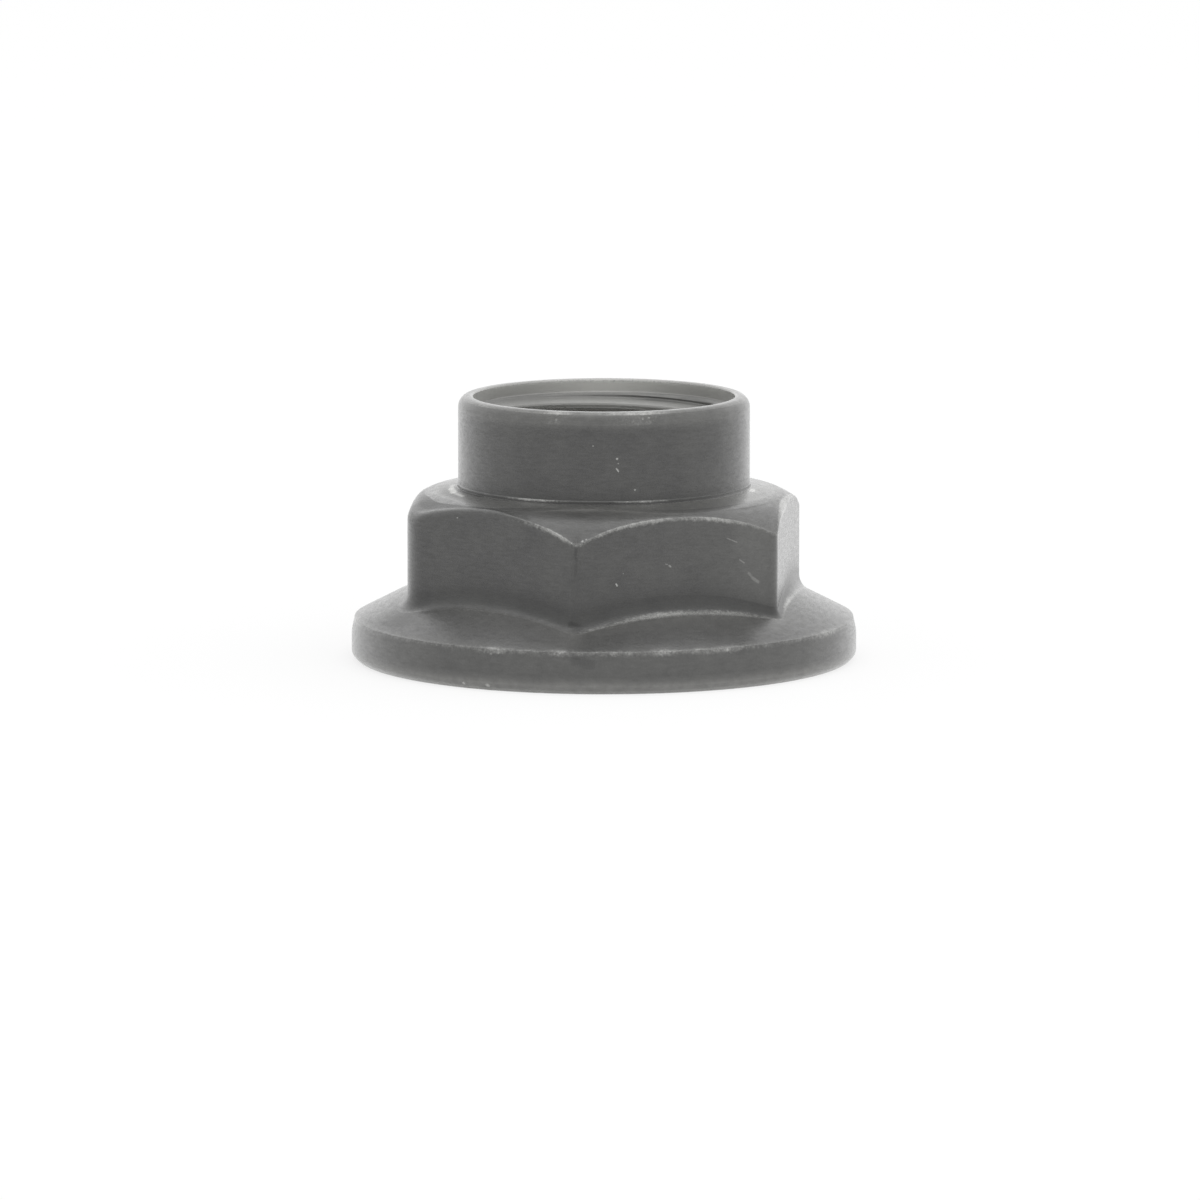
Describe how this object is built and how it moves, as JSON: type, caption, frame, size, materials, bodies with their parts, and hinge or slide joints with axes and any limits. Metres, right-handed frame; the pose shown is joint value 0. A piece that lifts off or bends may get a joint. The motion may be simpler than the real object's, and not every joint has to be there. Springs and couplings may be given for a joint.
{
  "type": "flanged hexagon nut with staking collar",
  "caption": "Forged steel hexagon nut with a wide round flange, a crowned shoulder and a thin round collar to be staked, threaded right through.",
  "frame": {"origin": "centre of the flange's flat bearing face, on the thread axis", "axes": "+Z along the thread axis from the bearing face to the collar; two opposite corners of the hexagon lie on the Y axis, so flats face +X and -X"},
  "size_m": [0.0436, 0.0436, 0.0227],
  "materials": {
    "phosphated_steel": "satin"
  },
  "bodies": {
    "root": {"flange_nut": "phosphated_steel"}
  },
  "joints": []
}
